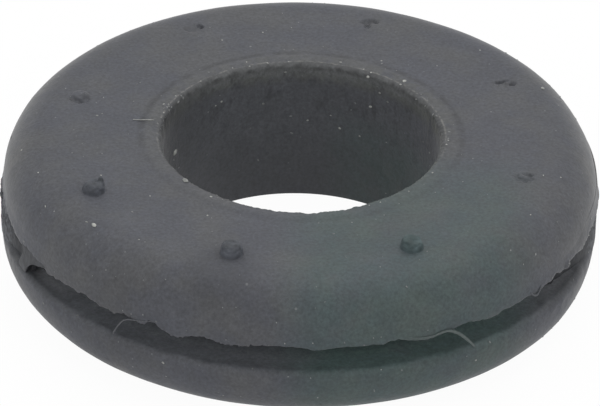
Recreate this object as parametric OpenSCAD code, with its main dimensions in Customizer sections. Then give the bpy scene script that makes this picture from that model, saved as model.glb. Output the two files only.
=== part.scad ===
// Open rubber grommet: one moulding with a plain bore, two rounded flanges
// and a groove between them that snaps into the edge of a panel hole.
// The origin is on the bore's axis, in the plane the lower flange rests on.

/* [Body] */
// Diameter over both flanges
outer_d = 30; // [28:0.5:40]
// Diameter of the bore that the cable runs through
bore_d = 14; // [6:0.5:16]
// Rounding of the bore's upper mouth
bore_edge_r = 0.25; // [0.1:0.05:0.5]
// Rounding of the bore's lower mouth
bore_foot_r = 0.1; // [0.05:0.05:0.5]

/* [Flanges] */
// Thickness of the upper flange, above the groove
upper_t = 3; // [2.8:0.1:5]
// Thickness of the lower flange, below the groove
lower_t = 3.1; // [3:0.1:5]
// Radius of each flange's outer shoulder
shoulder_r = 2.45; // [0.8:0.05:2.5]
// Rounding of the lower flange's lip, where it meets the groove's mouth
lip_r = 0.3; // [0.1:0.05:0.4]

/* [Panel groove] */
// Diameter of the groove's floor, which fits the panel hole
groove_d = 22; // [19:0.5:24]
// Width of the groove, which fits the panel's thickness
groove_w = 1.6; // [1:0.1:3]
// Fillet at the groove's two root corners
root_r = 0.3; // [0.1:0.05:0.4]

/* [Core land] */
// Width of the ring round the upper mouth that the mould's core pin forms
land_w = 0.9; // [0.5:0.1:1.5]
// Height of that ring above the upper face
land_h = 0.06; // [0.02:0.02:0.2]

/* [Gate marks] */
// Distance from the flange's outer edge in to the circle of gates
gate_inset = 3.3; // [3.2:0.1:4]
// Angle of the first gate from +X; the rest follow clockwise
gate_angle = 118.5; // [0:0.5:360]
// Diameter of a torn gate stub at its root
stub_d = 1.15; // [0.6:0.05:1.4]
// Diameter of the shallow dimple that a gate leaves when it tears out
scar_d = 0.85; // [0.5:0.05:1.4]

/* [Mould flash] */
// Thickness of the rubber film that bled out at the groove's upper lip
film_t = 0.12; // [0.06:0.02:0.2]
// Furthest that the torn film hangs below the lip
film_h = 0.34; // [0.2:0.02:0.6]
// How far inside the flange's edge the film's outer face lies
film_inset = 0.05; // [0.02:0.01:0.1]
// Height of the film that was left standing on the lower lip at the two sides
stand_h = 0.45; // [0.2:0.05:0.6]
// Angle from +X of the strip of film that still bridges the groove
web_angle = -156.5; // [-180:0.5:180]
// Width of that strip, measured round the rim
web_w = 1.5; // [1.2:0.1:3]
// Width of that strip at its waist, halfway across the groove
web_waist_w = 1; // [0.4:0.1:1.1]

/* [Hidden] */
$fn = 96;

outer_r = outer_d / 2;
bore_r = bore_d / 2;
groove_r = groove_d / 2;
height = lower_t + groove_w + upper_t;
upper_lip_z = lower_t + groove_w;
gate_circle_r = outer_r - gate_inset;

// One entry per gate, clockwise: a stub's height, or a scar's depth as a negative
gate_marks = [-0.08, -0.12, -0.12, 0.06, 0.54, 0.6, 0.52, 0.12];
// A stub narrows to this share of its root
stub_taper = 0.78;
// Slope of a stub's torn top, in degrees
tear_slope = 12;

// The film's lower edge is a row of bites, each with its own width and depth
bite_count = 84;
bite_sides = 9;
bite_r_min = 0.55;
bite_r_max = 1.3;
bite_seed = 41;
// Share of film_h that the shallowest and the deepest bites leave hanging
hang_max = 0.55;
hang_min = 0.08;
// Film left standing on the lower lip: first angle, arc, and share of stand_h
stands = [[162, 33, 1], [-12, 22, 0.7]];
// Spacing of the bites out of it in degrees, and how deep the deepest goes
stand_pitch = 3.7;
stand_dip = 0.8;
// Radius of the bites that waist the strip, as a share of the groove's width
waist_share = 0.42;
// Cutters and roots run this far past the faces they meet
overrun = 0.2;

film_out_r = outer_r - film_inset;
film_in_r = film_out_r - film_t;
bite_radii = rands(bite_r_min, bite_r_max, bite_count, bite_seed);
bite_hangs = rands(hang_min, hang_max, bite_count, bite_seed + 1);
bite_shifts = rands(-0.3, 0.3, bite_count, bite_seed + 2);
bite_spins = rands(0, 360 / bite_sides, bite_count, bite_seed + 3);

// Angle at the axis that a length measured round the film takes up
function rim_degrees(length) = length / film_out_r * 180 / PI;

// What a fillet of radius r takes off a corner at the origin; the solid lies
// towards -X and -Y of that corner
module outer_round(r) {
    difference() {
        translate([-r, -r]) square(r + overrun);
        translate([-r, -r]) circle(r);
    }
}

// What a fillet of radius r adds in an inner corner at the origin, in +X, +Y
module inner_fillet(r) {
    difference() {
        square(r);
        translate([r, r]) circle(r);
    }
}

// The groove's half section, open towards +X, with filleted root corners
module groove_section() {
    difference() {
        translate([groove_r, lower_t]) square([outer_r - groove_r + overrun, groove_w]);
        translate([groove_r, lower_t]) inner_fillet(root_r);
        translate([groove_r, upper_lip_z]) mirror([0, 1]) inner_fillet(root_r);
    }
}

// Half section of the whole moulding, bore to rim
module half_section() {
    difference() {
        union() {
            translate([bore_r, 0]) square([outer_r - bore_r, height]);
            translate([bore_r, 0]) square([land_w, height + land_h]);
        }
        translate([outer_r, height]) outer_round(shoulder_r);
        translate([outer_r, 0]) mirror([0, 1]) outer_round(shoulder_r);
        translate([outer_r, lower_t]) outer_round(lip_r);
        translate([bore_r, height + land_h]) mirror([1, 0]) outer_round(bore_edge_r);
        translate([bore_r, 0]) mirror([1, 0]) mirror([0, 1]) outer_round(bore_foot_r);
        groove_section();
    }
}

// Torn stub of a gate, standing on the plane z = 0
module gate_stub(h) {
    difference() {
        union() {
            cylinder(h = h + overrun, d1 = stub_d, d2 = stub_d * stub_taper);
            translate([0, 0, -overrun]) cylinder(h = overrun, d = stub_d);
        }
        translate([0, 0, h]) rotate([tear_slope, 0, 0])
            translate([-stub_d, -stub_d, 0]) cube(2 * stub_d);
    }
}

// Ball whose cap sinks a dimple of the scar's diameter and this depth
module gate_scar(depth) {
    chord = scar_d / 2;
    ball_r = (chord * chord + depth * depth) / (2 * depth);
    translate([0, 0, ball_r - depth]) sphere(ball_r);
}

// Places its child at gate number i, on the upper face
module at_gate(i) {
    turn = gate_angle - i * 360 / len(gate_marks);
    rotate([0, 0, turn]) translate([gate_circle_r, 0, height]) rotate([0, 0, -turn]) children();
}

// Band round the rim between two radii and two heights, over an arc of the rim
module rim_band(r0, r1, z0, z1, arc = 360) {
    rotate_extrude(angle = arc) translate([r0, z0]) square([r1 - r0, z1 - z0]);
}

// Cutter through the film at an angle of the rim, centred at height z: a
// prism with flat sides, turned by spin, as rubber tears in short straight runs
module bite(angle, z, r, spin) {
    rotate([0, 0, angle]) translate([film_in_r - overrun, 0, z]) rotate([0, 90, 0])
        rotate([0, 0, spin])
            cylinder(h = film_t + film_inset + 2 * overrun, r = r, $fn = bite_sides);
}

// Everything that has torn away from below the hanging edge, all round the
// rim except for the strip that still spans the groove
module torn_away() {
    rotate([0, 0, web_angle + rim_degrees(web_w / 2)])
        rim_band(film_in_r - overrun, outer_r + overrun,
                 lower_t - lip_r - overrun, upper_lip_z - film_h, 360 - rim_degrees(web_w));
}

// Film across the groove's mouth, as it was moulded and then torn: a ragged
// edge hangs from the upper lip, and one waisted strip reaches the lower lip
module flash_film() {
    waist_r = groove_w * waist_share;
    difference() {
        rim_band(film_in_r, film_out_r, lower_t - lip_r, upper_lip_z + overrun);
        torn_away();
        for (i = [0 : bite_count - 1])
            let (turn = (i + 0.5 + bite_shifts[i]) * 360 / bite_count,
                 clear = rim_degrees(web_w / 2 + bite_radii[i]))
                if (turn > clear && turn < 360 - clear)
                    bite(web_angle + turn,
                         upper_lip_z - film_h * bite_hangs[i] - bite_radii[i],
                         bite_radii[i], bite_spins[i]);
        for (side = [-1, 1])
            bite(web_angle + side * rim_degrees(web_waist_w / 2 + waist_r),
                 lower_t + groove_w / 2, waist_r, 0);
    }
}

// Film left standing on the lower lip over an arc, bitten from above, and
// lowest at the two ends of the arc
module standing_film(first, arc, h) {
    last = floor(arc / stand_pitch);
    difference() {
        rotate([0, 0, first])
            rim_band(film_in_r, film_out_r, lower_t - lip_r, lower_t + h, arc);
        for (i = [0 : last])
            let (dip = (i == 0 || i == last) ? 1 : stand_dip * bite_hangs[i] / hang_max)
                bite(first + (i + 0.5) * arc / (last + 1), lower_t + h * (1 - dip) + bite_radii[i],
                     bite_radii[i], bite_spins[i]);
    }
}

module grommet() {
    color([0.19, 0.195, 0.21]) difference() {
        union() {
            rotate_extrude() half_section();
            flash_film();
            for (s = stands) standing_film(s[0], s[1], stand_h * s[2]);
            for (i = [0 : len(gate_marks) - 1])
                if (gate_marks[i] > 0) at_gate(i) gate_stub(gate_marks[i]);
        }
        for (i = [0 : len(gate_marks) - 1])
            if (gate_marks[i] < 0) at_gate(i) gate_scar(-gate_marks[i]);
    }
}

grommet();
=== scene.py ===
import math
import random
import bpy
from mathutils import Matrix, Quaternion, Vector


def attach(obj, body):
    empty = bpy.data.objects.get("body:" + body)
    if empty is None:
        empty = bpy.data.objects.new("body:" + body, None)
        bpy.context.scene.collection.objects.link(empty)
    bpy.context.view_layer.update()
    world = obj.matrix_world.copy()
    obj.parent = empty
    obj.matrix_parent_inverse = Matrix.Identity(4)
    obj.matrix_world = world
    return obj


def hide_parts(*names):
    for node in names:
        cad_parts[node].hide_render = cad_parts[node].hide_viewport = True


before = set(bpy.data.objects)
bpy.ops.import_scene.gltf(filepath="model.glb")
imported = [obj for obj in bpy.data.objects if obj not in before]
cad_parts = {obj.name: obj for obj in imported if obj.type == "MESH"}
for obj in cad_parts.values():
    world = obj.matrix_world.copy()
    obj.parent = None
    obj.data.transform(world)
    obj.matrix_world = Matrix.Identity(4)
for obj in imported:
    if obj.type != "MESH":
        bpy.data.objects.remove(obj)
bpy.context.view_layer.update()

mm = 0.001  # pieces are modelled in millimetres and scaled to metres at the end


# Working helpers

def dropSelection():
    if bpy.context.object and bpy.context.object.mode != "OBJECT":
        bpy.ops.object.mode_set(mode="OBJECT")
    bpy.ops.object.select_all(action="DESELECT")


def takeOnly(piece):
    dropSelection()
    piece.select_set(True)
    bpy.context.view_layer.objects.active = piece


def named(name):
    # The object just added, under its own name
    piece = bpy.context.object
    piece.name = name
    return piece


def takeAll():
    bpy.ops.mesh.select_all(action="SELECT")


def pick(piece, kind, wanted):
    # Selects the vertices, edges or faces that answer wanted, and leaves edit mode on
    bpy.ops.object.mode_set(mode="EDIT")
    bpy.ops.mesh.select_mode(type=kind)
    bpy.ops.mesh.select_all(action="DESELECT")
    bpy.ops.object.mode_set(mode="OBJECT")
    mesh = piece.data
    if kind == "VERT":
        for v in mesh.vertices:
            v.select = wanted(v.co)
    elif kind == "EDGE":
        for e in mesh.edges:
            e.select = wanted(mesh.vertices[e.vertices[0]].co, mesh.vertices[e.vertices[1]].co)
    else:
        for f in mesh.polygons:
            f.select = wanted(f.center)
    bpy.ops.object.mode_set(mode="EDIT")


def push(move, reach=0.0, falloff="SMOOTH"):
    # Moves what is selected, and what lies within reach of it by less and less
    if reach:
        bpy.ops.transform.translate(value=move, use_proportional_edit=True,
                                    proportional_edit_falloff=falloff, proportional_size=reach)
    else:
        bpy.ops.transform.translate(value=move)


def smoothStep(a, b, x):
    t = max(0.0, min(1.0, (x - a) / (b - a)))
    return t * t * (3 - 2 * t)


def weigh(piece, name, share):
    # A vertex group whose weight at each vertex is share(place), from 0 to 1
    bpy.ops.object.mode_set(mode="OBJECT")
    group = piece.vertex_groups.new(name=name)
    for v in piece.data.vertices:
        w = float(share(v.co))
        if w > 0:
            group.add([v.index], w, "REPLACE")


def modify(piece, kind, **settings):
    # Adds one modifier with these settings and applies it
    takeOnly(piece)
    modifier = piece.modifiers.new(kind.lower(), kind)
    for key, value in settings.items():
        setattr(modifier, key, value)
    bpy.ops.object.modifier_apply(modifier=modifier.name)


def roughen(piece, size, strength, group="", direction="NORMAL", depth=2, middle=0.5):
    # Moves the surface by a cloud texture; size and strength are in millimetres
    clouds = bpy.data.textures.new(piece.name + "Clouds", "CLOUDS")
    clouds.noise_scale = size
    clouds.noise_depth = depth
    modify(piece, "DISPLACE", texture=clouds, texture_coords="LOCAL", direction=direction,
           strength=strength, mid_level=middle, vertex_group=group)


def soften(piece, levels):
    modify(piece, "SUBSURF", levels=levels, render_levels=levels)


def faceOutwards(weld=0.0):
    # Points closer than weld are joined, and every face is turned outwards
    takeAll()
    if weld:
        bpy.ops.mesh.remove_doubles(threshold=weld)
    bpy.ops.mesh.normals_make_consistent(inside=False)


def extrudeRings(rings, start):
    # The selected ring of radius start is extruded through (radius, height) steps
    r0, z0 = start
    for r, z in rings:
        bpy.ops.mesh.extrude_region_move(TRANSFORM_OT_translate={"value": (0, 0, z - z0)})
        bpy.ops.transform.resize(value=(r / r0, r / r0, 1), center_override=(0, 0, 0))
        r0, z0 = r, z


def atRim(azimuth, r, z):
    a = math.radians(azimuth)
    return Vector((r * math.cos(a), r * math.sin(a), z))


def turnOf(place):
    return math.degrees(math.atan2(place.y, place.x))


def roundTurn(azimuth):
    # The same direction as an angle from -180 to 180
    return (azimuth + 180) % 360 - 180


def finishPiece(piece, finish, sharp=40):
    # Scale to metres, shade, and attach the piece to the root body
    takeOnly(piece)
    piece.vertex_groups.clear()
    piece.scale = (mm, mm, mm)
    piece.location = [c * mm for c in piece.location]
    bpy.ops.object.transform_apply(location=True, rotation=True, scale=True)
    bpy.ops.object.shade_smooth_by_angle(angle=math.radians(sharp))
    piece.data.materials.clear()
    piece.data.materials.append(finish)
    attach(piece, "root")
    print(piece.name, "finished:", len(piece.data.polygons), "faces")


# Camera

cameraSetup = {
    "elevation": 31.65,      # degrees above the floor
    "roll": 1.317,           # the right side hangs a little lower
    "distance": 600.0,       # millimetres
    "lens": 717.0,
    "sensor": 36,
    "clip": (0.01, 10),      # metres
    "aim": (0.0, -1.73, 4.83),
}
rise = math.radians(cameraSetup["elevation"])
away = cameraSetup["distance"] * mm
bpy.ops.object.camera_add()
camera = named("productCamera")
camera.data.lens = cameraSetup["lens"]
camera.data.sensor_width = cameraSetup["sensor"]
camera.data.clip_start, camera.data.clip_end = cameraSetup["clip"]
camera.location = (
    cameraSetup["aim"][0] * mm,
    cameraSetup["aim"][1] * mm - away * math.cos(rise),
    cameraSetup["aim"][2] * mm + away * math.sin(rise),
)
camera.rotation_mode = "XYZ"
camera.rotation_euler = (math.pi / 2 - rise, 0, 0)
camera.rotation_euler.rotate_axis("Z", math.radians(cameraSetup["roll"]))
bpy.context.scene.camera = camera
print("camera placed")


# Finishes

def sRgb(r, g, b):
    # 0 to 255 display values to a linear colour
    def line(c):
        c /= 255
        return c / 12.92 if c <= 0.04045 else ((c + 0.055) / 1.055) ** 2.4
    return (line(r), line(g), line(b), 1)


def addNode(tree, kind, values=None, **settings):
    node = tree.nodes.new(kind)
    for key, value in settings.items():
        setattr(node, key, value)
    for key, value in (values or {}).items():
        node.inputs[key].default_value = value
    return node


def startFinish(name):
    # A Principled shader, and the place on the piece in millimetres
    finish = bpy.data.materials.new(name)
    finish.use_nodes = True
    tree = finish.node_tree
    tree.nodes.clear()
    out = addNode(tree, "ShaderNodeOutputMaterial")
    shader = addNode(tree, "ShaderNodeBsdfPrincipled")
    tree.links.new(shader.outputs["BSDF"], out.inputs["Surface"])
    coords = addNode(tree, "ShaderNodeTexCoord")
    place = addNode(tree, "ShaderNodeVectorMath", {1: (1 / mm, 1 / mm, 1 / mm)}, operation="MULTIPLY")
    tree.links.new(coords.outputs["Object"], place.inputs[0])
    return finish, tree, shader, place.outputs["Vector"]


def noise(tree, place, scale, detail, roughness):
    node = addNode(tree, "ShaderNodeTexNoise", {"Scale": scale, "Detail": detail, "Roughness": roughness})
    tree.links.new(place, node.inputs["Vector"])
    return node.outputs["Fac"]


def ramp(tree, value, fromLow, fromHigh, toLow=0.0, toHigh=1.0, ease="LINEAR"):
    node = addNode(tree, "ShaderNodeMapRange", interpolation_type=ease)
    for key, number in (("From Min", fromLow), ("From Max", fromHigh), ("To Min", toLow), ("To Max", toHigh)):
        node.inputs[key].default_value = number
    tree.links.new(value, node.inputs["Value"])
    return node.outputs["Result"]


def reckon(tree, operation, *values):
    node = addNode(tree, "ShaderNodeMath", operation=operation)
    for i, value in enumerate(values):
        if isinstance(value, (int, float)):
            node.inputs[i].default_value = value
        else:
            tree.links.new(value, node.inputs[i])
    return node.outputs["Value"]


def blendColours(tree, share, low, high, way="MIX"):
    node = addNode(tree, "ShaderNodeMix", data_type="RGBA", blend_type=way)
    for i, colour in ((6, low), (7, high)):
        if isinstance(colour, tuple):
            node.inputs[i].default_value = colour
        else:
            tree.links.new(colour, node.inputs[i])
    tree.links.new(share, node.inputs[0])
    return node.outputs[2]


def bumpOf(tree, height, strength, depth, below=None):
    node = addNode(tree, "ShaderNodeBump", {"Strength": strength, "Distance": depth * mm})
    tree.links.new(height, node.inputs["Height"])
    if below:
        tree.links.new(below, node.inputs["Normal"])
    return node.outputs["Normal"]


noiseSpan = (0.3, 0.7)  # a noise pattern stays almost wholly between these
mouthR = 7.25           # where the upper face turns down into the bore

rubberLook = {
    "base": sRgb(70, 72, 79),        # bluish dark grey
    "warm": sRgb(73, 74, 77),        # drifts towards this in patches
    "greenTint": (0.77, 1.05, 0.925, 1),  # cast over the front and the right front
    "worn": sRgb(103, 103, 101),     # rubbed, dusty shoulder round the back
    "groove": sRgb(82, 84, 89),      # inside of the groove, lightened as painted light
    # the same towards the far left and the far right: painted light deep inside and painted shade near the
    # lip
    "grooveLeft": (sRgb(175, 177, 182), sRgb(60, 62, 66)),
    "grooveRight": (sRgb(132, 134, 138), sRgb(60, 62, 66)),
    "shelf": (sRgb(151, 155, 161), sRgb(97, 100, 105)),  # painted light on its lower wall, likewise
    "land": sRgb(76, 77, 78),        # ring that the core pin's shoulder leaves
    "mouth": sRgb(99, 99, 97),       # rubbed edge of the mouth
    "witnessAndPaintedShade": sRgb(50, 51, 54),     # line round that ring, pits and drag marks, and painted shade in the bore and on the mouth's rounding
    "bore": sRgb(80, 82, 87),        # skin of the bore
    "stain": sRgb(82, 84, 80),       # under the mouth
    "upperBore": sRgb(99, 101, 102),  # just under the mouth round the back
    "speck": sRgb(136, 138, 138),    # dust bedded in the skin
    # darker patches of painted shade, most round the stubs and the gate scars, as a place, their reach and
    # how dark
    "paintedShadePatches": [
        ((-3.8, -12.7, 7.6), 2.8, 0.8), ((-3.6, -11.2, 7.7), 1.3, 0.86), ((-11.3, -5.3, 7.7), 1.2, 0.92),
        ((14.2, -4.95, 5.3), 0.8, 0.7), ((-5.6, 10.25, 7.7), 0.8, 0.88),
        ((-11.6, 3.2, 7.75), 0.3, 0.85), ((-11.2, 2.95, 7.75), 0.26, 0.92),
        ((-10.85, 3.25, 7.75), 0.28, 0.82),
    ],
    # patterns as scale, detail, roughness, and the shade at their low and their high
    "grain": (6.0, 3, 0.65, 0.76, 1.24),
    "mottle": (1.7, 3, 0.6, 0.88, 1.12),
    "blotch": (0.55, 2, 0.5, 0.94, 1.06),
    "streaks": (14.0, 0.8),          # how close they lie round the bore, and down it
    # round spots as scale, rarity, largest radius and strength
    "pits": (1.15, 0.5, 0.1, 0.55),
    "specks": [(2.1, 0.5, 0.06, 0.65), (0.8, 0.5, 0.1, 0.6)],
    # bumps as strength and depth
    "bumps": {"streaks": (0.6, 0.1), "mottle": (0.35, 0.06), "grain": (0.45, 0.025)},
    "roughness": 0.6,
    "specular": 0.5,
    "sheen": 0.22,
    "sheenRoughness": 0.3,
}


def readPlace(tree, place):
    # The place on the piece as x, y, z, distance from the bore's axis and turn round it
    split = addNode(tree, "ShaderNodeSeparateXYZ")
    tree.links.new(place, split.inputs["Vector"])
    at = {"place": place, "x": split.outputs["X"], "y": split.outputs["Y"], "z": split.outputs["Z"]}
    squares = [reckon(tree, "MULTIPLY", at[side], at[side]) for side in ("x", "y")]
    at["radius"] = reckon(tree, "SQRT", reckon(tree, "ADD", *squares))
    at["turn"] = reckon(tree, "ARCTAN2", at["y"], at["x"])
    return at


def overlap(tree, *shares):
    # Product of several shares
    share = shares[0]
    for other in shares[1:]:
        share = reckon(tree, "MULTIPLY", share, other)
    return share


def patches(tree, at, scale, low, high, toLow=0.0, toHigh=1.0, detail=3.0):
    return ramp(tree, noise(tree, at["place"], scale, detail, 0.6), low, high, toLow, toHigh, "SMOOTHSTEP")


def specks(tree, place, scale, rare, largest, strength):
    # Round spots in those cells of a Voronoi pattern whose random number is above rare
    cells = addNode(tree, "ShaderNodeTexVoronoi", {"Scale": scale, "Randomness": 1.0})
    tree.links.new(place, cells.inputs["Vector"])
    chance = addNode(tree, "ShaderNodeSeparateColor")
    tree.links.new(cells.outputs["Color"], chance.inputs["Color"])
    size = ramp(tree, chance.outputs["Red"], rare, 1.0, 0.0, largest * scale)
    rim = reckon(tree, "SUBTRACT", size, cells.outputs["Distance"])
    return overlap(tree, ramp(tree, rim, 0.0, 0.03 * scale, 0.0, strength),
                   ramp(tree, chance.outputs["Green"], 0.0, 1.0, 0.4, 1.0))


def castShare(tree, at):
    # Green cast: right of the middle on the front half, and low on the bore's right wall
    front = overlap(tree, ramp(tree, at["x"], -2.0, 1.8, ease="SMOOTHSTEP"),
                    ramp(tree, at["x"], 12.6, 9.6, ease="SMOOTHSTEP"),
                    ramp(tree, at["y"], -0.6, -4.8, ease="SMOOTHSTEP"),
                    ramp(tree, at["y"], -4.0, -13.0, 0.7, 1.0), patches(tree, at, 0.4, 0.3, 0.55, 0.6))
    within = overlap(tree, ramp(tree, at["radius"], 7.3, 7.1), ramp(tree, at["x"], 0.8, 3.4),
                     ramp(tree, at["z"], 5.6, 3.2), patches(tree, at, 0.7, 0.3, 0.6, 0.4, 0.8))
    return reckon(tree, "MAXIMUM", front, within)


def grooveLayers(tree, at, look, colour):
    # Inside of the groove, lightened as painted light, most on its lower wall and fading towards the lip; at
    # the far left and right, painted light deep inside and painted shade near the lip
    low = overlap(tree, ramp(tree, at["z"], 2.78, 3.04), ramp(tree, at["z"], 3.5, 3.3))
    high = overlap(tree, ramp(tree, at["z"], 3.3, 3.5), ramp(tree, at["z"], 4.72, 4.62),
                   ramp(tree, at["radius"], 14.85, 14.5))
    inside = overlap(tree, reckon(tree, "MAXIMUM", low, high), ramp(tree, at["radius"], 10.6, 10.9))
    # Painted light on the lower wall, lighter deep inside than near the lip
    paintedLightShare = overlap(tree, low, ramp(tree, at["radius"], 14.85, 14.55),
                    ramp(tree, at["radius"], 11.6, 12.4))
    dust = blendColours(tree, ramp(tree, at["radius"], 13.3, 14.55), *look["shelf"])
    wall = blendColours(tree, paintedLightShare, look["groove"], dust)
    # At the far left and right ends: painted light deep inside, painted shade near the lip
    outer = ramp(tree, at["radius"], 14.1, 14.65)
    left, right = (blendColours(tree, outer, *look[side]) for side in ("grooveLeft", "grooveRight"))
    end = blendColours(tree, ramp(tree, at["x"], -1.0, 1.0), left, right)
    aside = reckon(tree, "DIVIDE", reckon(tree, "ABSOLUTE", at["x"]), at["radius"])
    atEnds = overlap(tree, ramp(tree, aside, 0.8, 0.92), ramp(tree, at["y"], 5.0, 2.0))
    return blendColours(tree, inside, colour, blendColours(tree, atEnds, wall, end))


def wornShare(tree, at):
    # Outer shoulder of the upper flange, most of all round the back
    return overlap(tree, ramp(tree, at["radius"], 13.3, 14.8), ramp(tree, at["z"], 4.9, 5.5),
                   ramp(tree, at["y"], -6.0, 4.0, 0.1, 1.0), patches(tree, at, 1.1, 0.35, 0.62, 0.48, 0.78))


def landLayers(tree, at, look, colour):
    # Ring round the mouth with its broken line, the mouth's rubbed edge, and painted shade on its rounding
    onTop = ramp(tree, at["z"], 7.3, 7.5)
    back = ramp(tree, at["y"], -3.0, 1.0, 0.25, 1.0)
    ring = overlap(tree, onTop, ramp(tree, at["radius"], 8.05, 7.75), back,
                   patches(tree, at, 1.3, 0.38, 0.6, 0.25, 0.9))
    colour = blendColours(tree, ring, colour, look["land"])
    offLine = reckon(tree, "ABSOLUTE", reckon(tree, "SUBTRACT", at["radius"], 8.08))
    line = overlap(tree, onTop, ramp(tree, offLine, 0.06, 0.26, 0.7, 0.0), back,
                   patches(tree, at, 1.4, 0.34, 0.6, 0.15, 1.0))
    colour = blendColours(tree, line, colour, look["witnessAndPaintedShade"])
    offEdge = reckon(tree, "ABSOLUTE", reckon(tree, "SUBTRACT", at["radius"], mouthR))
    edge = overlap(tree, onTop, ramp(tree, offEdge, 0.02, 0.07, 1.0, 0.0), back,
                   patches(tree, at, 3.4, 0.44, 0.58, 0.0, 1.0))
    colour = blendColours(tree, edge, colour, look["mouth"])
    # The mouth's rounding at the back is darkened as painted shade where it turns down into the bore
    rolled = overlap(tree, ramp(tree, at["radius"], 7.24, 7.18, 0.0, 0.4),
                     ramp(tree, at["radius"], 7.02, 7.1), onTop, back)
    return blendColours(tree, rolled, colour, look["witnessAndPaintedShade"])


def boreLayers(tree, at, look, colour, streak):
    # The bore's skin: stained under the mouth, with drag marks, and painted shade low down and on the left
    within = ramp(tree, at["radius"], mouthR, 7.08)
    colour = blendColours(tree, within, colour, look["bore"])
    stain = overlap(tree, within, ramp(tree, at["z"], 6.5, 7.1),
                    patches(tree, at, 1.4, 0.36, 0.58, 0.2, 0.95))
    colour = blendColours(tree, stain, colour, look["stain"])
    under = overlap(tree, within, ramp(tree, at["z"], 6.8, 7.3), ramp(tree, at["y"], 2.5, 5.0))
    colour = blendColours(tree, under, colour, look["upperBore"])
    marks = overlap(tree, within, ramp(tree, streak, 0.52, 0.66, 0.0, 0.6),
                    ramp(tree, at["z"], 2.0, 6.5, 0.3, 1.0))
    colour = blendColours(tree, marks, colour, look["witnessAndPaintedShade"])
    # Painted shade low in the bore and on its left wall
    paintedShade = reckon(tree, "MAXIMUM", ramp(tree, at["x"], -4.0, -6.8, 0.0, 0.6),
                  ramp(tree, at["z"], 4.2, 0.8, 0.0, 0.6))
    return blendColours(tree, overlap(tree, within, paintedShade), colour, look["witnessAndPaintedShade"])


def makeRubber(name, look):
    finish, tree, shader, place = startFinish(name)
    shader.inputs["Specular IOR Level"].default_value = look["specular"]
    shader.inputs["Sheen Weight"].default_value = look["sheen"]
    shader.inputs["Sheen Roughness"].default_value = look["sheenRoughness"]
    at = readPlace(tree, place)

    # Streaks that run up and down the bore, from the core pin
    drag = addNode(tree, "ShaderNodeCombineXYZ")
    around, down = look["streaks"]
    tree.links.new(reckon(tree, "MULTIPLY", at["turn"], around), drag.inputs["X"])
    tree.links.new(reckon(tree, "MULTIPLY", at["z"], down), drag.inputs["Y"])
    streak = noise(tree, drag.outputs["Vector"], 1.0, 4, 0.7)

    colour = blendColours(tree, patches(tree, at, 0.28, 0.38, 0.66, detail=4.0), look["base"], look["warm"])
    colour = boreLayers(tree, at, look, colour, streak)
    colour = grooveLayers(tree, at, look, colour)
    colour = blendColours(tree, wornShare(tree, at), colour, look["worn"])
    colour = landLayers(tree, at, look, colour)
    colour = blendColours(tree, castShare(tree, at), colour, look["greenTint"], "MULTIPLY")

    # Patterns, the foot lightened as painted light from the floor, and the patches of painted shade scale the
    # colour; pits and specks of dust lie on top
    pattern = {kind: noise(tree, place, *look[kind][:3]) for kind in ("grain", "mottle", "blotch")}
    shade = overlap(tree, *(ramp(tree, fac, *noiseSpan, *look[kind][3:]) for kind, fac in pattern.items()),
                    ramp(tree, at["z"], 2.4, 0.4, 1.0, 1.22))
    # Each patch of painted shade darkens the colour round its place
    for spot, reach, dark in look["paintedShadePatches"]:
        off = addNode(tree, "ShaderNodeVectorMath", {1: spot}, operation="DISTANCE")
        tree.links.new(place, off.inputs[0])
        shade = overlap(tree, shade, ramp(tree, off.outputs["Value"], 0.3 * reach, reach, dark, 1.0,
                                          "SMOOTHSTEP"))
    toned = addNode(tree, "ShaderNodeVectorMath", operation="SCALE")
    tree.links.new(colour, toned.inputs[0])
    tree.links.new(shade, toned.inputs["Scale"])
    colour = blendColours(tree, specks(tree, place, *look["pits"]), toned.outputs["Vector"], look["witnessAndPaintedShade"])
    for spots in look["specks"]:
        colour = blendColours(tree, specks(tree, place, *spots), colour, look["speck"])
    tree.links.new(colour, shader.inputs["Base Color"])
    matt = ramp(tree, pattern["mottle"], *noiseSpan, look["roughness"] - 0.05, look["roughness"] + 0.1)
    tree.links.new(matt, shader.inputs["Roughness"])

    within = ramp(tree, at["radius"], mouthR, 7.05)
    heights = {"streaks": reckon(tree, "MULTIPLY", streak, within), **pattern}
    normal = None
    for kind, bump in look["bumps"].items():
        normal = bumpOf(tree, heights[kind], *bump, normal)
    tree.links.new(normal, shader.inputs["Normal"])
    return finish


def makeTorn(name, foot, top, footZ, topZ, roughness, mottling=(2.2, 0.28), paintedShade=None):
    # Torn rubber whose colour changes from its foot to its top; mottling is its scale and strength.
    # Below the first radius given it is darkened evenly as painted shade, where it lies recessed, and above
    # the second it is mottled
    finish, tree, shader, place = startFinish(name)
    shader.inputs["Roughness"].default_value = roughness
    shader.inputs["Specular IOR Level"].default_value = 0.4
    at = readPlace(tree, place)
    grain = noise(tree, place, 4.0, 3, 0.65)
    scale, strong = mottling
    mottle = noise(tree, place, scale, 2, 0.5)
    height = reckon(tree, "ADD", at["z"], ramp(tree, grain, *noiseSpan, -0.08, 0.08))
    colour = blendColours(tree, ramp(tree, height, footZ, topZ), foot, top)
    colour = blendColours(tree, castShare(tree, at), colour, rubberLook["greenTint"], "MULTIPLY")
    toned = addNode(tree, "ShaderNodeVectorMath", operation="SCALE")
    tree.links.new(colour, toned.inputs[0])
    shade = ramp(tree, mottle, *noiseSpan, 1 - strong, 1 + strong)
    if paintedShade:
        dark = 0.58  # painted shade of the recessed part
        outwards = ramp(tree, at["radius"], *paintedShade)
        shade = reckon(tree, "MULTIPLY_ADD", outwards, reckon(tree, "SUBTRACT", shade, dark), dark)
    tree.links.new(shade, toned.inputs["Scale"])
    tree.links.new(toned.outputs["Vector"], shader.inputs["Base Color"])
    tree.links.new(bumpOf(tree, grain, 0.5, 0.03), shader.inputs["Normal"])
    return finish


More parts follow.
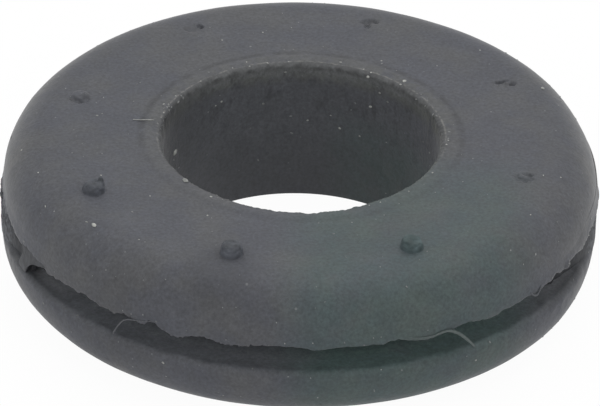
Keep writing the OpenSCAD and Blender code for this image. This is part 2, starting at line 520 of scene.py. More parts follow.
def makePlain(name, base, other, roughness, scale):
    # Small things: a stretched film, a thread, a fleck of dust
    finish, tree, shader, place = startFinish(name)
    shader.inputs["Roughness"].default_value = roughness
    shader.inputs["Specular IOR Level"].default_value = 0.3
    grain = noise(tree, place, scale, 3, 0.65)
    colour = blendColours(tree, ramp(tree, grain, 0.35, 0.65), base, other)
    tree.links.new(colour, shader.inputs["Base Color"])
    tree.links.new(bumpOf(tree, grain, 0.5, 0.015), shader.inputs["Normal"])
    return finish


rubber = makeRubber("mouldedRubber", rubberLook)
stubRubber = makeTorn("stubRubber", sRgb(79, 82, 89), sRgb(72, 75, 80), 7.95, 8.25, 0.7)
stripRubber = makeTorn("stripRubber", sRgb(68, 70, 74), sRgb(60, 62, 66), 2.9, 3.7, 0.65)
tornRubber = makeTorn("tornRubber", sRgb(84, 86, 90), sRgb(74, 76, 80), 2.9, 3.6, 0.75, (5.0, 0.6),
                      (14.68, 14.88))
thinRubber = makePlain("thinRubber", sRgb(76, 78, 82), sRgb(89, 91, 95), 0.6, 9.0)
thinGreen = makePlain("thinGreen", sRgb(76, 85, 84), sRgb(90, 98, 97), 0.6, 9.0)
paleDust = makePlain("paleDust", sRgb(120, 122, 121), sRgb(186, 187, 182), 0.9, 1.3)
fineDust = makePlain("fineDust", sRgb(100, 102, 103), sRgb(150, 152, 151), 0.9, 0.9)
print("finishes made")


# Moulded body: a half section is drawn, rounded and spun about the bore

bodySizes = {
    "upperR": 14.94, "lowerR": 14.97, "boreR": 7.0, "height": 7.7,
    "grooveR": 11.0, "grooveLow": 3.1, "grooveHigh": 4.7,
    "shoulder": 2.45, "lip": 0.42, "root": 0.3, "mouth": 0.25, "lowMouth": 0.06,
    "landR": 7.9, "landUp": 0.04,
    "lipCut": 0.28,          # how far the upper lip is cut back behind the flash
    "turns": 480,
    "step": 0.3,             # longest straight piece of the section
    # slack places as azimuth, height, how far they are pulled in, and reach
    "slack": [(12, 6.2, 0.1, 5.0), (-8, 2.0, 0.1, 5.0)],
    # unevenness of each zone as size, strength, depth of detail and middle
    "uneven": {
        "everywhere": (4.0, 0.05, 2, 0.5), "lowerLip": (0.45, 0.14, 2, 0.5), "land": (0.35, 0.04, 2, 0.5),
        "mouthEdge": (0.22, 0.12, 3, 0.5), "wornMouth": (3.0, -0.14, 2, 0.0), "boreWall": (0.7, 0.05, 2, 0.5),
    },
}


def drawSection(s):
    # Corners as radius, height, rounding and pieces in the rounding
    corners = [
        (s["boreR"], 0, s["lowMouth"], 2),
        (s["lowerR"], 0, s["shoulder"], 14),
        (s["lowerR"], s["grooveLow"], s["lip"], 6),
        (s["grooveR"], s["grooveLow"], s["root"], 3),
        (s["grooveR"], s["grooveHigh"], s["root"], 3),
        (s["upperR"] - s["lipCut"], s["grooveHigh"], 0, 0),
        (s["upperR"], s["grooveHigh"] + s["lipCut"], 0, 0),
        (s["upperR"], s["height"], s["shoulder"], 20),
        (s["landR"] + 0.1, s["height"], 0, 0),
        (s["landR"], s["height"] + s["landUp"] * 0.7, 0, 0),
        (s["landR"] - 0.2, s["height"] + s["landUp"], 0, 0),
        (s["boreR"], s["height"] + s["landUp"], s["mouth"], 5),
    ]
    dropSelection()
    bpy.ops.mesh.primitive_plane_add(size=0.1, location=(0, 0, 0))
    section = named("mouldedBody")
    bpy.ops.object.mode_set(mode="EDIT")
    bpy.ops.mesh.merge(type="CENTER")
    at = (0.0, 0.0)
    for i, (r, z, _, _) in enumerate(corners):
        move = (r - at[0], 0, z - at[1])
        if i == 0:
            push(move)
        else:
            bpy.ops.mesh.extrude_region_move(TRANSFORM_OT_translate={"value": move})
        at = (r, z)
    takeAll()
    bpy.ops.mesh.edge_face_add()
    for r, z, rounding, pieces in corners:
        if rounding:
            pick(section, "VERT", lambda c: abs(c.x - r) < 1e-4 and abs(c.z - z) < 1e-4)
            bpy.ops.mesh.bevel(offset=rounding, segments=pieces, affect="VERTICES")
    takeAll()
    bpy.ops.mesh.delete(type="ONLY_FACE")
    return section


def divideStraights(section, step):
    # Long straight edges get cuts, so that the spun faces are close to square
    bpy.ops.object.mode_set(mode="OBJECT")
    co = [v.co.copy() for v in section.data.vertices]
    lengths = [(co[e.vertices[0]] - co[e.vertices[1]]).length for e in section.data.edges]
    counts = {math.ceil(length / step) - 1 for length in lengths}
    bpy.ops.object.mode_set(mode="EDIT")
    for cuts in sorted(c for c in counts if c > 0):
        pick(section, "EDGE", lambda a, b: math.ceil((a - b).length / step) - 1 == cuts)
        bpy.ops.mesh.subdivide(number_cuts=cuts)


def spinSection(turns):
    takeAll()
    bpy.ops.mesh.spin(steps=turns, angle=2 * math.pi, center=(0, 0, 0), axis=(0, 0, 1), use_auto_merge=True)
    faceOutwards(weld=0.001)
    bpy.ops.object.mode_set(mode="OBJECT")


body = drawSection(bodySizes)
divideStraights(body, bodySizes["step"])
spinSection(bodySizes["turns"])
for azimuth, z, pull, reach in bodySizes["slack"]:
    spot = atRim(azimuth, bodySizes["lowerR"], z)
    pick(body, "VERT", lambda c: (c - spot).length < 0.6)
    push(atRim(azimuth, -pull, 0), reach)
zones = {
    # how far a place lies in each zone, from 0 to 1
    "everywhere": lambda c: c.z > 0.3,
    "lowerLip": lambda c: smoothStep(14.2, 14.7, math.hypot(c.x, c.y)) * (2.4 < c.z < 3.3),
    "land": lambda c: c.z > 7.5 and math.hypot(c.x, c.y) < 7.95,
    "mouthEdge": lambda c: smoothStep(7.45, 7.2, math.hypot(c.x, c.y)) * smoothStep(6.9, 7.3, c.z),
    # the front left, where the mouth is rubbed down
    "wornMouth": lambda c: (smoothStep(7.75, mouthR, math.hypot(c.x, c.y)) * smoothStep(6.9, 7.4, c.z)
                            * smoothStep(85, 55, abs(roundTurn(turnOf(c) + 130)))),
    "boreWall": lambda c: math.hypot(c.x, c.y) < 7.1 and 0.3 < c.z < 7.3,
}
for zone, share in zones.items():
    weigh(body, zone, share)
    size, strength, depth, middle = bodySizes["uneven"][zone]
    roughen(body, size, strength, zone, depth=depth, middle=middle)
print("body spun")

# Gates: eight round the top, each a scar sunk in the skin or a stub that stands up
gateRing = {"r": 11.7, "first": 118.5, "step": -45, "top": 7.7}
scarSpots = {
    # gate number: spots as right, back, reach and how far each is pushed up
    0: [(0.0, 0.0, 0.5, -0.08), (-0.3, -0.05, 0.2, -0.05), (0.26, 0.34, 0.1, -0.13),
        (0.38, 0.24, 0.08, -0.1)],
    1: [(-0.3, 0.1, 0.16, -0.1), (-0.12, 0.22, 0.18, -0.16), (0.1, 0.26, 0.2, -0.18),
        (0.32, 0.14, 0.16, -0.12), (-0.12, -0.12, 0.14, -0.16), (-0.1, -0.34, 0.13, -0.12)],
    2: [(-0.42, 0.08, 0.12, -0.12), (-0.26, 0.12, 0.12, -0.15), (-0.1, 0.18, 0.12, -0.13),
        (0.08, 0.28, 0.12, -0.09), (0.28, 0.02, 0.2, -0.22), (0.04, -0.02, 0.14, 0.1)],
    3: [(0.0, 0.0, 0.5, 0.07), (-0.42, -0.04, 0.12, -0.07), (-0.3, -0.3, 0.14, -0.1),
        (0.0, -0.44, 0.15, -0.11), (0.3, -0.3, 0.14, -0.09), (0.02, 0.12, 0.15, -0.1),
        (0.24, 0.06, 0.15, -0.18)],
    7: [(0.0, 0.06, 0.44, 0.11), (0.16, 0.02, 0.14, 0.08), (-0.36, -0.24, 0.13, -0.08),
        (-0.2, -0.4, 0.14, -0.12), (0.02, -0.46, 0.14, -0.13), (0.22, -0.38, 0.13, -0.11),
        (0.36, -0.2, 0.1, -0.07)],
}


def gatePlace(i):
    return atRim(gateRing["first"] + gateRing["step"] * i, gateRing["r"], gateRing["top"])


def shapeScars(piece, scars):
    # The skin round each scar is divided finely, then pushed in or up spot by spot
    takeOnly(piece)
    centres = {i: gatePlace(i) for i in scars}
    pick(piece, "FACE", lambda c: c.z > 7.4 and any((c - p).length < 0.9 for p in centres.values()))
    bpy.ops.mesh.subdivide(number_cuts=3)
    for i, spots in scars.items():
        for side, back, reach, up in spots:
            spot = centres[i] + Vector((side, back, 0))
            pick(piece, "VERT", lambda c: (c - spot).xy.length < 0.1 and c.z > 7.3)
            push((0, 0, up), reach, "SPHERE" if up > 0.1 else "SMOOTH")
    bpy.ops.object.mode_set(mode="OBJECT")


shapeScars(body, scarSpots)
print("scars shaped")
finishPiece(body, rubber)
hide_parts("grommet")


# Flash lip: the ragged edge of film that hangs from the upper flange

flashSizes = {
    "outR": 15.0, "inR": 14.86, "tip": 4.52, "buried": 5.6,
    "turns": 1600,
    # outer face downwards, as how far inside outR and height
    "face": [(0.075, 5.42), (0.058, 5.28), (0.045, 5.16), (0.03, 5.04), (0.018, 4.94), (0.01, 4.85),
             (0.003, 4.77), (0, 4.69), (0, 4.61)],
    # swells of the torn edge as azimuth, half width in millimetres and rise
    "swells": [
        (-177, 0.7, 0.14), (-171, 0.6, -0.2), (-166, 0.5, 0.12), (-146, 0.9, -0.06),
        (-138, 1.4, 0.1), (-135, 0.4, 0.12), (-129, 0.7, -0.08), (-124.5, 0.5, 0.08), (-118.7, 0.3, 0.28),
        (-113.8, 0.9, -0.14), (-107, 0.8, 0.12), (-104, 0.6, -0.12), (-94, 1.8, 0.12), (-79, 1.0, 0.08),
        (-71, 0.5, 0.14), (-65, 1.2, -0.15), (-56, 0.8, 0.16), (-50, 0.6, -0.06), (-31, 0.4, 0.2),
        (-24, 0.7, 0.14), (-19, 0.5, -0.08), (-13.7, 0.8, 0.22), (-6, 0.8, 0.05), (-1.5, 0.6, -0.16),
    ],
    # lumps that stand out of the edge: azimuth, height, out, reach
    "lumps": [(-26.8, 4.62, 0.1, 0.22), (-172, 4.6, 0.05, 0.3), (-179, 4.7, 0.1, 0.4), (8, 4.6, 0.05, 0.4),
              (-1.5, 4.95, 0.06, 0.45)],
    "calm": (-98, -20, 0.4),  # azimuths between which the edge is torn less, and how much
    "bridge": -156,           # azimuth of the strip, beside which it is hardly torn
    # unevenness as zone, size, strength, direction, depth of detail and middle
    "uneven": [("hang", 0.9, 0.22, "Z", 2, 0.5), ("jag", 0.3, 0.3, "Z", 3, 0.5),
               ("jag", 0.11, 0.16, "Z", 2, 0.5), ("hang", 0.5, 0.05, "NORMAL", 2, 0.62),
               ("ends", 0.22, 0.2, "NORMAL", 2, 0.55)],
}


def shapeFlash(s):
    dropSelection()
    bpy.ops.mesh.primitive_circle_add(vertices=s["turns"], radius=s["outR"] - 0.1, location=(0, 0, 0))
    flash = named("flashLip")
    bpy.ops.object.mode_set(mode="EDIT")
    takeAll()
    push((0, 0, s["buried"]))
    out, inner, tip = s["outR"], s["inR"], s["tip"]
    rings = [(out - inwards, z) for inwards, z in s["face"]]
    rings += [(out - 0.01, tip + 0.02), (out - 0.05, tip - 0.01)]
    rings += [(inner + 0.05, tip - 0.01), (inner + 0.01, tip + 0.02)]
    rings += [(inner, z) for z in (tip + 0.1, tip + 0.25, 5.1, s["buried"])]
    extrudeRings(rings, (out - 0.1, s["buried"]))
    bpy.ops.mesh.select_all(action="DESELECT")
    bpy.ops.mesh.select_non_manifold()
    bpy.ops.mesh.bridge_edge_loops()
    faceOutwards()
    for azimuth, width, up in s["swells"]:
        spot = atRim(azimuth, out, tip)
        pick(flash, "VERT", lambda c: (c - spot).length < 0.16)
        push((0, 0, up), width)
    for azimuth, z, stand, reach in s["lumps"]:
        spot = atRim(azimuth, out, z)
        pick(flash, "VERT", lambda c: (c - spot).length < 0.12)
        push(atRim(azimuth, stand, 0), reach)
    bpy.ops.object.mode_set(mode="OBJECT")

    def hang(c):
        return 1 - smoothStep(4.5, 5.15, c.z)

    def jag(c):
        first, last, less = s["calm"]
        beside = smoothStep(7.0, 4.0, abs(turnOf(c) - s["bridge"]))
        return hang(c) * (less if first <= turnOf(c) <= last else 1.0) * (1 - 0.8 * beside)

    def ends(c):
        # the far left and right, where the edge is torn most
        left = smoothStep(22.0, 10.0, abs(roundTurn(turnOf(c) - 180)))
        right = 0.6 * smoothStep(20.0, 10.0, abs(turnOf(c) + 2))
        return hang(c) * max(left, right)

    for zone, share in (("hang", hang), ("jag", jag), ("ends", ends)):
        weigh(flash, zone, share)
    for zone, size, strength, direction, depth, middle in s["uneven"]:
        roughen(flash, size, strength, zone, direction, depth, middle)
    return flash


flash = shapeFlash(flashSizes)
finishPiece(flash, rubber, 60)


# Strip of film that still bridges the groove

stripSizes = {
    "outR": 15.0, "thick": 0.14, "across": 12, "middle": -153,
    "blank": 200,            # side of the grid before its rows are set
    "uneven": (0.3, 0.05),   # size and strength
    # rows from the film down into the lower lip: height, left and right edge as azimuths, how far in
    "rows": [
        (5.0, -159.0, -145.0, 0.09), (4.8, -158.6, -145.6, 0.03), (4.64, -158.0, -146.6, -0.01),
        (4.5, -157.4, -147.9, -0.01), (4.36, -156.9, -149.5, -0.01), (4.2, -156.9, -151.2, -0.01),
        (4.02, -157.3, -152.8, 0.0), (3.74, -158.1, -154.1, 0.01), (3.42, -159.1, -155.2, 0.02),
        (3.12, -159.9, -156.1, 0.06), (2.86, -160.5, -156.8, 0.14), (2.6, -161.0, -157.4, 0.3),
    ],
}


def shapeStrip(s):
    dropSelection()
    blank, last = s["blank"], len(s["rows"]) - 1
    bpy.ops.mesh.primitive_grid_add(x_subdivisions=s["across"], y_subdivisions=last, size=blank,
                                    location=(0, 0, 0), rotation=(math.pi / 2, 0, 0))
    strip = named("bridgeStrip")
    bpy.ops.object.transform_apply(location=True, rotation=True, scale=True)
    degree = math.radians(s["outR"])
    for i, (z, left, right, _) in enumerate(s["rows"]):
        level = blank / 2 - blank * i / last
        pick(strip, "VERT", lambda c: abs(c.z - level) < 0.5)
        bpy.ops.transform.resize(value=((right - left) / blank * degree, 1, 1), center_override=(0, 0, level))
        push((((left + right) / 2 - s["middle"]) * degree, -s["outR"], z - level))
    modify(strip, "CAST", cast_type="CYLINDER", factor=1, size=s["outR"], use_z=False)
    cast = math.hypot(*strip.data.vertices[0].co.xy)
    for z, _, _, inwards in s["rows"]:
        pick(strip, "VERT", lambda c: abs(c.z - z) < 0.04)
        share = (s["outR"] - inwards) / cast
        bpy.ops.transform.resize(value=(share, share, 1), center_override=(0, 0, z))
    takeAll()
    bpy.ops.transform.rotate(value=-math.radians(s["middle"] + 90), orient_axis="Z",
                             center_override=(0, 0, 0))
    modify(strip, "SOLIDIFY", thickness=s["thick"], offset=-1)
    soften(strip, 2)
    roughen(strip, *s["uneven"])
    return strip


finishPiece(shapeStrip(stripSizes), stripRubber, 60)


# Torn film that was left standing on the lower lip at the far left and the far right

remnantSizes = {
    "thick": 0.2, "foot": 2.75, "step": 0.08,
    "lowRemnantLeft": {
        "outR": 15.04, "ragged": 0.3, "lumpy": 0.4, "towards": 1,
        # its torn edge as azimuths and heights; how far it is moved along X, towards the axis
        "edge": [(160, 3.0), (164, 3.45), (172, 3.5), (177, 4.3), (181, 4.6), (202, 4.65), (203.5, 4.6)],
        "dent": [(160, 0.0), (186, 0.0), (190, 0.1), (194, 0.28), (197, 0.45), (203.5, 0.5)],
    },
    "lowRemnantRight": {
        "outR": 14.93, "ragged": 0.2, "lumpy": 0.2, "towards": -1,
        "edge": [(-25, 2.95), (-22.5, 3.5), (-20, 4.0), (-17.5, 4.45), (-14, 4.6), (-7, 4.6), (2, 4.55),
                 (6, 4.2), (10, 3.5), (13, 3.0)],
        "dent": [(-25, 1.2), (-20, 0.8), (-16, 0.42), (-12, 0.2), (-8.5, 0.05), (-6, 0.0), (13, 0.0)],
    },
}


def between(azimuth, points):
    # Value at an azimuth, on straight runs between points
    for (a0, v0), (a1, v1) in zip(points, points[1:]):
        if azimuth <= a1:
            return v0 + (v1 - v0) * max(0.0, azimuth - a0) / (a1 - a0)
    return points[-1][1]


def shift(piece, group, direction, strength):
    # Moves the piece along an axis by the weights of a group
    modify(piece, "DISPLACE", direction=direction, strength=strength, mid_level=0, vertex_group=group)


def shapeRemnant(name, s):
    own = s[name]
    outR, edge, foot, top = own["outR"], own["edge"], s["foot"], max(z for _, z in own["edge"])
    first, last = edge[0][0], edge[-1][0]
    middle = (first + last) / 2
    dropSelection()
    bpy.ops.mesh.primitive_plane_add(size=1, location=(0, 0, 0), rotation=(math.pi / 2, 0, 0))
    strip = named(name)
    bpy.ops.object.transform_apply(location=True, rotation=True, scale=True)
    bpy.ops.object.mode_set(mode="EDIT")
    takeAll()
    bpy.ops.transform.resize(value=(s["thick"], 1, top - foot), center_override=(0, 0, 0))
    push((outR - s["thick"] / 2, 0, (top + foot) / 2))
    bpy.ops.mesh.subdivide(number_cuts=1)
    pick(strip, "EDGE", lambda a, b: abs(a.z - b.z) > 0.1)
    bpy.ops.mesh.subdivide(number_cuts=8)
    takeAll()
    bpy.ops.transform.rotate(value=-math.radians(last), orient_axis="Z", center_override=(0, 0, 0))
    steps = round(math.radians(last - first) * outR / s["step"])
    bpy.ops.mesh.spin(steps=steps, angle=math.radians(last - first), center=(0, 0, 0), axis=(0, 0, 1))
    faceOutwards(weld=0.001)

    def lift(c):
        return (c.z - foot) / (top - foot)

    def azimuth(c):
        return middle + roundTurn(turnOf(c) - middle)

    weigh(strip, "lift", lift)
    weigh(strip, "lack", lambda c: lift(c) * (top - between(azimuth(c), edge)) / (top - foot))
    shift(strip, "lack", "Z", foot - top)
    roughen(strip, 0.5, own["ragged"], "lift", "Z", 3)
    roughen(strip, 0.18, own["ragged"] * 0.6, "lift", "Z", 2)
    roughen(strip, 0.3, own["lumpy"], "lift", "NORMAL", 2)
    above = (foot - 0.1, foot + 0.15)
    weigh(strip, "dent", lambda c: between(azimuth(c), own["dent"]) * smoothStep(*above, c.z))
    shift(strip, "dent", "X", own["towards"])
    return strip


for name in ("lowRemnantLeft", "lowRemnantRight"):
    finishPiece(shapeRemnant(name, remnantSizes), tornRubber, 60)
print("flash shaped")


# Slivers: thin torn threads of film at the upper lip

sliverSizes = {
    "along": 8, "round": 3,  # pieces from point to point, and round the section
    "uneven": (0.15, 0.03),  # size and strength
}
sliverPaths = {
    # points as azimuth, radius, height and width
    "sliverLeft": [(-117.5, 14.97, 4.85, 0.05), (-119.6, 15.0, 4.72, 0.06), (-121.5, 15.02, 4.6, 0.07),
                   (-123.6, 15.04, 4.52, 0.07), (-124.8, 15.05, 4.38, 0.08), (-125.8, 15.06, 4.03, 0.09),
                   (-126.6, 15.04, 3.68, 0.09), (-127.3, 14.98, 3.38, 0.08), (-127.9, 14.85, 3.1, 0.05)],
    "sliverRight": [(-68.5, 14.98, 4.72, 0.05), (-66.5, 15.0, 4.55, 0.06), (-64.3, 15.02, 4.48, 0.07),
                    (-62.4, 15.03, 4.53, 0.09), (-61.0, 15.04, 4.66, 0.12), (-59.4, 15.06, 4.56, 0.16),
                    (-57.8, 15.07, 4.27, 0.18), (-56.1, 15.07, 3.82, 0.17), (-54.8, 15.03, 3.4, 0.14),
                    (-53.8, 14.9, 3.08, 0.08)],
    "curledTab": [(-39.6, 14.98, 4.72, 0.08), (-39.1, 15.02, 4.58, 0.1), (-38.6, 15.05, 4.44, 0.11),
                  (-37.9, 15.06, 4.4, 0.11), (-37.2, 15.05, 4.5, 0.1), (-36.6, 15.03, 4.66, 0.09),
                  (-36.2, 14.98, 4.78, 0.07)],
}


def drawSliver(name, path):
    dropSelection()
    bpy.ops.curve.primitive_nurbs_path_add(radius=1, location=(0, 0, 0))
    sliver = named(name)
    line = sliver.data.splines[0]
    line.points.add(len(path) - len(line.points))
    for point, (azimuth, r, z, width) in zip(line.points, path):
        point.co = (*atRim(azimuth, r, z), 1)
        point.radius = width / 2
    line.use_endpoint_u = True
    line.resolution_u = sliverSizes["along"]
    sliver.data.bevel_depth = 1
    sliver.data.bevel_resolution = sliverSizes["round"]
    sliver.data.use_fill_caps = True
    takeOnly(sliver)
    bpy.ops.object.convert(target="MESH")
    sliver = bpy.context.object
    roughen(sliver, *sliverSizes["uneven"])
    return sliver


for name, path in sliverPaths.items():
    finishPiece(drawSliver(name, path), thinGreen if name == "sliverRight" else thinRubber, 60)


# Gate stubs: torn nubs that stand on the upper face

stubSizes = {
    "foot": 0.63, "sunk": -0.05,
    "uneven": [(0.35, 0.12), (0.12, 0.03)],  # of the torn top, as size and strength
    # outline above the foot as radii and heights
    "rings": [(0.585, 0.0), (0.572, 0.1), (0.552, 0.2), (0.527, 0.3), (0.495, 0.4), (0.45, 0.49),
              (0.38, 0.56), (0.25, 0.6), (0.12, 0.61)],
    # stub: gate number, share of that height, and spots as right, back, reach and how far up
    "stubs": {
        "stubFront": (4, 0.9, [(-0.12, 0.15, 0.3, 0.06), (0.2, -0.1, 0.3, -0.16), (0.5, 0.0, 0.2, -0.05)]),
        "stubFrontLeft": (5, 1.0, [(0.1, 0.1, 0.25, -0.1), (-0.25, 0.05, 0.25, 0.05),
                                   (0.28, -0.1, 0.2, 0.06)]),
        "stubLeft": (6, 0.85, [(-0.1, 0.1, 0.35, -0.12), (0.32, 0.12, 0.13, 0.24)]),
    },
}


def shapeStub(name, s):
    gate, high, spots = s["stubs"][name]
    dropSelection()
    bpy.ops.mesh.primitive_circle_add(vertices=40, radius=s["foot"], location=(0, 0, 0), fill_type="NGON")
    stub = named(name)
    bpy.ops.object.mode_set(mode="EDIT")
    takeAll()
    push((0, 0, s["sunk"]))
    extrudeRings(s["rings"], (s["foot"], s["sunk"]))
    bpy.ops.mesh.poke()
    faceOutwards()
    bpy.ops.transform.resize(value=(1, 1, high), center_override=(0, 0, 0))
    for side, back, reach, up in spots:
        pick(stub, "VERT", lambda c: c.z > 0.25 and math.hypot(c.x - side, c.y - back) < 0.12)
        push((0, 0, up), reach)
    bpy.ops.object.mode_set(mode="OBJECT")
    soften(stub, 2)
    place = gatePlace(gate)
    takeOnly(stub)
    stub.location = place
    bpy.ops.object.transform_apply(location=True, rotation=False, scale=False)
    weigh(stub, "torn", lambda c: smoothStep(0.05, 0.3, c.z - place.z))
    for size, strength in s["uneven"]:
        roughen(stub, size, strength, "torn")
    return stub


for name in stubSizes["stubs"]:
    finishPiece(shapeStub(name, stubSizes), stubRubber, 50)
print("stubs placed")


# Dust: flakes on the skin, some where they are seen to lie and the rest scattered, and a thread

dustSizes = {
    "seed": 7,
    "flat": 0.5,             # height of a flake for its width
    "uneven": (0.7, 0.7),    # size and strength, of its width
    # flakes as x, y, z, size and how long for its width
    "placed": [
        (-10.2, -8.66, 7.55, 0.1, 1.7), (-5.73, -4.51, 7.7, 0.13, 1.5), (-10.57, -8.33, 7.53, 0.04, 2.2),
        (-9.96, -4.21, 7.7, 0.045, 1.2), (-10.31, 1.54, 7.7, 0.05, 1.3), (-10.06, 1.75, 7.7, 0.033, 1.3),
        (-14.05, -1.03, 7.16, 0.045, 1.2), (-13.12, -3.64, 7.46, 0.035, 1.2), (-12.7, -6.25, 7.1, 0.035, 2),
        (-7.93, -10.14, 7.68, 0.033, 1.3), (-7.47, -6.05, 7.7, 0.033, 1.3), (-4.58, -7.79, 7.7, 0.045, 1.3),
        # round the mouth
        (5.14, 5.52, 7.7, 0.09, 1.2), (4.95, 5.22, 7.7, 0.05, 1.4), (1.9, 7.23, 7.7, 0.035, 2.2),
        (3.44, 6.32, 7.7, 0.035, 1.3), (3.08, 6.6, 7.7, 0.035, 1.3), (3.97, 7.52, 7.7, 0.045, 1.2),
        (-2.87, 7.03, 7.7, 0.033, 1.2), (-2.71, 6.65, 7.7, 0.036, 1.3), (-1.81, 6.98, 7.7, 0.036, 1.8),
        (-3.57, 6.42, 7.7, 0.036, 1.3), (-0.74, 7.22, 7.7, 0.034, 1.6), (-6.73, 2.77, 7.7, 0.045, 1.6),
        (-6.98, 2.76, 7.7, 0.045, 1.4), (-6.39, 3.56, 7.7, 0.04, 1.3), (-6.96, 1.98, 7.7, 0.035, 1.3),
        (-4.43, -6.02, 7.7, 0.055, 1.4), (3.45, -6.5, 7.7, 0.034, 1.3), (4.0, -6.2, 7.7, 0.036, 1.3),
        (5.41, -5.12, 7.7, 0.034, 1.3), (6.58, -3.31, 7.7, 0.045, 1.3), (7.28, -0.54, 7.7, 0.036, 1.3),
        (7.37, -0.15, 7.7, 0.04, 1.3),
        # further out
        (12.16, 5.43, 7.58, 0.1, 1.2), (8.97, 8.8, 7.7, 0.033, 1.3), (-4.15, 9.22, 7.7, 0.042, 1.2),
        (-2.09, 10.09, 7.7, 0.038, 1.2), (-5.16, 5.08, 7.7, 0.033, 1.3), (12.99, -3.1, 7.48, 0.035, 1.3),
        (12.13, -3.2, 7.67, 0.03, 1.3), (11.46, -6.75, 7.5, 0.035, 1.3),
        # on the bore's wall
        (-6.41, 2.85, 4.85, 0.13, 1.6), (-4.1, 5.69, 6.19, 0.06, 1.2), (-1.99, 6.73, 5.5, 0.055, 1.3),
        (-0.89, 6.96, 7.27, 0.05, 1.5), (-4.4, 5.46, 6.08, 0.04, 1.3), (3.3, 6.19, 7.54, 0.07, 1.3),
        (3.92, 5.82, 6.84, 0.05, 1.4), (4.33, 5.52, 6.51, 0.05, 1.4), (3.46, 6.1, 5.84, 0.06, 1.6),
        (1.93, 6.74, 4.13, 0.055, 1.3), (2.95, 6.36, 3.92, 0.045, 1.2), (0.29, 7.01, 4.4, 0.045, 1.3),
        (1.46, 6.87, 4.81, 0.035, 1.4), (6.5, 2.66, 5.29, 0.045, 1.3),
        # on the lower flange
        (-6.6, -13.45, 2.58, 0.055, 1.5), (8.91, -12.04, 2.25, 0.05, 1.2), (4.25, -14.36, 3.1, 0.028, 1.2),
        # along the torn edge at the right
        (14.6, -3.32, 5.27, 0.06, 1.1), (14.68, -2.93, 4.5, 0.05, 1.8), (14.46, -3.86, 4.6, 0.04, 1.8),
        (14.21, -4.72, 4.6, 0.04, 1.5), (13.44, -6.6, 4.69, 0.06, 2), (14.72, -2.74, 3.1, 0.04, 1.6),
    ],
    # scattered ones: how many, then azimuths, radii, heights and sizes as from and to
    "zones": {
        "top": (70, 0, 360, 7.6, 13.0, 7.7, 7.7, 0.018, 0.038),
        "shoulder": (60, 0, 360, 13.2, 14.8, 5.4, 7.4, 0.018, 0.04),
        "backEdge": (50, 5, 175, 13.4, 14.6, 5.6, 7.2, 0.024, 0.05),
        "mouthRight": (20, -10, 38, 7.0, 7.45, 7.5, 7.7, 0.024, 0.048),
        "mouthLeft": (18, 148, 176, 7.0, 7.4, 7.5, 7.7, 0.024, 0.048),
        "mouthFront": (12, 195, 250, 7.0, 7.3, 7.6, 7.7, 0.02, 0.045),
        "bore": (60, 0, 360, 6.9, 7.0, 1.0, 7.2, 0.02, 0.045),
        "lowerFlange": (36, 190, 350, 14.6, 15.0, 0.6, 3.0, 0.02, 0.042),
        "lip": (30, 185, 355, 14.9, 15.1, 4.6, 5.0, 0.018, 0.033),
    },
    # thread as its points x, y, its height and its width
    "thread": [(-8.49, 1.19), (-8.2, 1.14), (-7.9, 1.17), (-7.65, 1.21), (-7.43, 1.16)],
    "threadZ": 7.74, "threadW": 0.044,
}


def settle(point):
    # Nearest place on the body or the flash, and the way it faces there
    hits = [piece.closest_point_on_mesh(point * mm) for piece in (body, flash)]
    _, spot, normal, _ = min(hits, key=lambda hit: (hit[1] - point * mm).length)
    return spot / mm, normal


def makeFlake(s):
    dropSelection()
    bpy.ops.mesh.primitive_ico_sphere_add(subdivisions=2, radius=1, location=(0, 0, 0))
    flake = named("dustFlake")
    bpy.ops.transform.resize(value=(1, 1, s["flat"]))
    bpy.ops.object.transform_apply(location=False, rotation=False, scale=True)
    roughen(flake, *s["uneven"])
    return flake


def layFlake(flake, point, size, stretch, spin):
    spot, normal = settle(point)
    takeOnly(flake)
    bpy.ops.object.duplicate()
    copy = bpy.context.object
    turned = normal.to_track_quat("Z", "Y")
    copy.rotation_mode = "QUATERNION"
    copy.rotation_quaternion = turned @ Quaternion((0, 0, 1), spin)
    copy.scale = (size * stretch, size, size)
    copy.location = spot + normal * size * 0.2
    return copy


def joinFlakes(laid, name):
    takeOnly(laid[0])
    for piece in laid:
        piece.select_set(True)
    bpy.ops.object.join()
    dust = named(name)
    dust.rotation_mode = "XYZ"
    bpy.ops.object.transform_apply(location=True, rotation=True, scale=True)
    return dust


def scatterDust(s):
    draw = random.Random(s["seed"])
    flake = makeFlake(s)
    large = [layFlake(flake, Vector((x, y, z)), size, stretch, draw.uniform(-0.4, 0.4))
             for x, y, z, size, stretch in s["placed"]]
    fine = []
    for count, a0, a1, r0, r1, z0, z1, smallest, largest in s["zones"].values():
        for _ in range(count):
            point = atRim(draw.uniform(a0, a1), draw.uniform(r0, r1), draw.uniform(z0, z1))
            size = smallest + (largest - smallest) * draw.random() ** 2
            fine.append(layFlake(flake, point, size, draw.uniform(1.0, 2.2), draw.uniform(0, math.pi)))
    bpy.data.objects.remove(flake)
    finishPiece(joinFlakes(large, "dustFlakes"), paleDust, 30)
    finishPiece(joinFlakes(fine, "dustSpecks"), fineDust, 30)


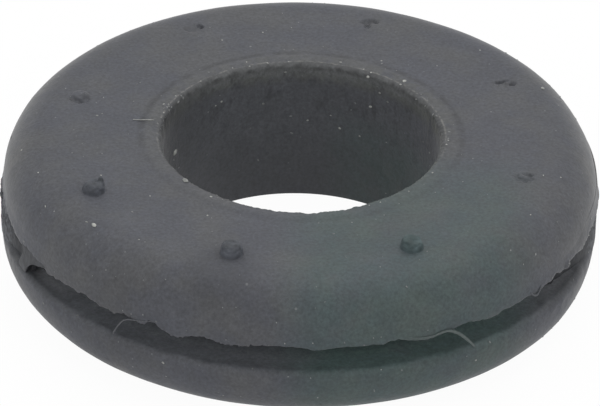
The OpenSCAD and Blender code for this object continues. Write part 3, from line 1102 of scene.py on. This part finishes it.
scatterDust(dustSizes)
fibre = [(math.degrees(math.atan2(y, x)), math.hypot(x, y), dustSizes["threadZ"], dustSizes["threadW"])
         for x, y in dustSizes["thread"]]
finishPiece(drawSliver("dustThread", fibre), paleDust, 60)
print("dust laid")


# Floor and light

floorLook = {
    "side": 8,               # metres
    "paper": (0.92, 0.92, 0.92, 1),
    "bleach": 0.96,          # share of plain white in the paper as it is looked at; the rest is lit
}

bpy.ops.mesh.primitive_plane_add(size=floorLook["side"], location=(0, 0, 0))
floor = named("floor")
paper = bpy.data.materials.new("palePaper")
paper.use_nodes = True
sheet = paper.node_tree
sheet.nodes.clear()
paperOut = addNode(sheet, "ShaderNodeOutputMaterial")
paperLit = addNode(sheet, "ShaderNodeBsdfDiffuse", {"Color": floorLook["paper"]})
paperWhite = addNode(sheet, "ShaderNodeEmission", {"Color": (1, 1, 1, 1), "Strength": 1.0})
paperMix = addNode(sheet, "ShaderNodeMixShader")
seen = addNode(sheet, "ShaderNodeLightPath")
direct = reckon(sheet, "MAXIMUM", seen.outputs["Is Camera Ray"], seen.outputs["Is Glossy Ray"])
sheet.links.new(reckon(sheet, "MULTIPLY", direct, floorLook["bleach"]), paperMix.inputs["Fac"])
sheet.links.new(paperLit.outputs["BSDF"], paperMix.inputs[1])
sheet.links.new(paperWhite.outputs["Emission"], paperMix.inputs[2])
sheet.links.new(paperMix.outputs["Shader"], paperOut.inputs["Surface"])
floor.data.materials.append(paper)

lightSetup = {
    "world": 0.75,
    "place": (0.06, 0.14, 0.66),  # lamp above and behind, in metres
    "size": 0.7,
    "watts": 2.2,
}
studio = bpy.data.worlds.new("studio")
bpy.context.scene.world = studio
studio.use_nodes = True
studio.node_tree.nodes["Background"].inputs["Color"].default_value = (1, 1, 1, 1)
studio.node_tree.nodes["Background"].inputs["Strength"].default_value = lightSetup["world"]

bpy.ops.object.light_add(type="AREA", location=lightSetup["place"])
lamp = named("overhead")
lamp.rotation_euler = Vector(lightSetup["place"]).to_track_quat("Z", "Y").to_euler()
lamp.data.size = lightSetup["size"]
lamp.data.energy = lightSetup["watts"]
print("floor and lamp placed")

bpy.context.scene.view_settings.view_transform = "Standard"
